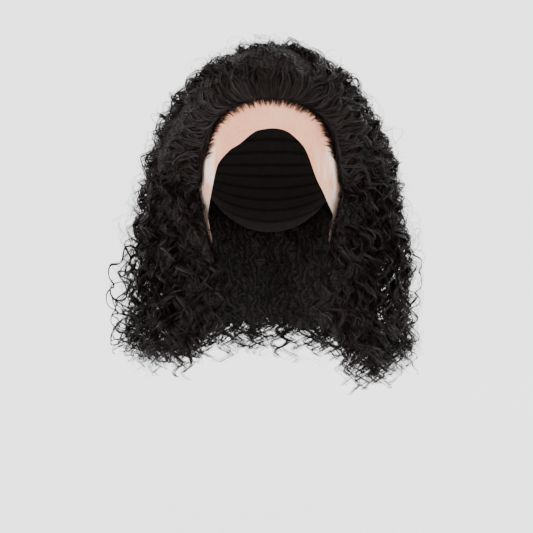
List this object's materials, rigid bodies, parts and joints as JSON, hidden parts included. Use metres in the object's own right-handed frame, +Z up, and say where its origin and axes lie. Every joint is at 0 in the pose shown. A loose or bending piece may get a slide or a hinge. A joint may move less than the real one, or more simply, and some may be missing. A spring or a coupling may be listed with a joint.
{
  "type": "curly bob wig",
  "caption": "Curly dark bob wig with a sheer lace front, an uncut lace edge, a weft cap and hair swept back from the hairline, open at the face and neck.",
  "frame": {"origin": "the point inside the cap that the crown of the head meets", "axes": "+Z up, the face opening towards -Y, +X towards the viewer's right"},
  "size_m": [0.2951, 0.2306, 0.3406],
  "materials": {
    "hair": "fine curly hair, off-black with a soft sheen",
    "cap_net": "matte black stretch net with rows of wefts",
    "lace": "sheer skin-toned hexagonal net"
  },
  "bodies": {
    "root": {"lace_front": "lace", "weft_cap": "cap_net", "hair_front_left": "hair", "hair_front_middle": "hair", "hair_front_right": "hair", "hair_back_left": "hair", "hair_back_middle": "hair", "hair_back_right": "hair"}
  },
  "joints": []
}
